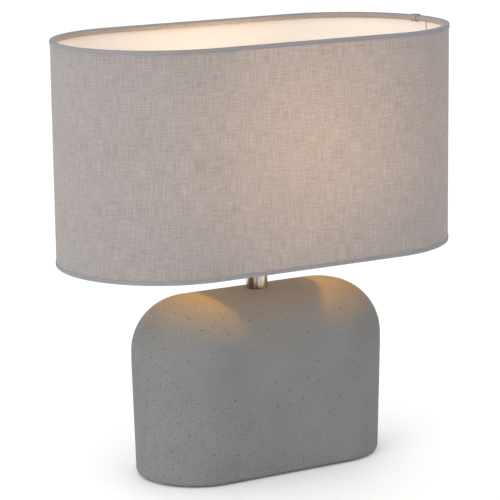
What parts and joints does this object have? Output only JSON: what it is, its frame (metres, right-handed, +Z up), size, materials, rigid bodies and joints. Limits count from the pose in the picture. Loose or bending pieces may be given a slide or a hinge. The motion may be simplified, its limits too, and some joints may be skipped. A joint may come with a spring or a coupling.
{
  "type": "table lamp",
  "caption": "Table lamp with an oval fabric drum shade on a round-shouldered cast concrete base, with lampholder, shade carrier and bulb.",
  "frame": {"origin": "on the floor under the middle of the base", "axes": "+Z up along the stem, X along the long side of the base and the shade, +Y to the back, where the cord inlet is"},
  "size_m": [0.351, 0.181, 0.366],
  "materials": {
    "concrete": "fine cast concrete, matt, small pores",
    "steel": "mill finish sheet",
    "felt": "pressed wool felt",
    "zinc_steel": "zinc plated",
    "brass": "bright",
    "rubber": "matt",
    "nickel": "satin nickel plated",
    "holder_plastic": "heat-proof moulding",
    "porcelain": "glazed block",
    "white_steel": "white powder coat",
    "liner": "smooth white translucent shade card",
    "shade_cloth": "plain woven cotton and linen",
    "hem_tape": "fine twill tape",
    "bulb_glass": "clear, thin",
    "bulb_metal": "rolled shell",
    "bulb_black": "black vitrified glass",
    "filament": "yellow phosphor coat"
  },
  "bodies": {
    "lamp": {"base_shell": "concrete", "base_plate": "steel", "felt_pad": "felt", "base_screws": "zinc_steel", "screw_inserts": "brass", "cord_bush": "rubber", "stem_tube": "nickel", "threaded_tube": "zinc_steel", "lock_washer": "zinc_steel", "lock_nut": "zinc_steel", "holder_cap": "holder_plastic", "holder_shell": "holder_plastic", "contact_block": "porcelain", "terminal_screws": "brass", "screw_shell": "brass", "centre_contact": "brass"},
    "retaining_ring": {"shade_ring": "holder_plastic"},
    "shade": {"carrier_washer": "white_steel", "carrier_arms": "white_steel", "lower_wire": "white_steel", "upper_wire": "white_steel", "shade_liner": "liner", "shade_fabric": "shade_cloth", "lower_hem": "hem_tape", "upper_hem": "hem_tape"},
    "bulb_envelope": {"bulb_glass": "bulb_glass"},
    "bulb_works": {"bulb_cap": "bulb_metal", "bulb_insulator": "bulb_black", "bulb_contact": "bulb_metal", "glass_mount": "bulb_glass", "filament_frame": "bulb_metal", "filaments": "filament"}
  },
  "joints": [
    {"name": "shade_swivel", "type": "hinge", "parent": "lamp", "child": "shade", "pos_m": [0, 0, 0.224], "axis": [0, 0, 1], "continuous": true},
    {"name": "ring_rise", "type": "slide", "parent": "lamp", "child": "retaining_ring", "axis": [0, 0, 1], "range_m": [0, 0.0175]},
    {"name": "bulb_rise", "type": "slide", "parent": "lamp", "child": "bulb_envelope", "axis": [0, 0, 1], "range_m": [0, 0.01633]},
    {"name": "bulb_turn", "type": "hinge", "parent": "bulb_envelope", "child": "bulb_works", "pos_m": [0, 0, 0.2195], "axis": [0, 0, 1], "range_deg": [0, 1620]}
  ],
  "couplings": [
    {"joint": "bulb_turn", "follows": "bulb_rise", "rad_per_m": 1731.4}
  ]
}
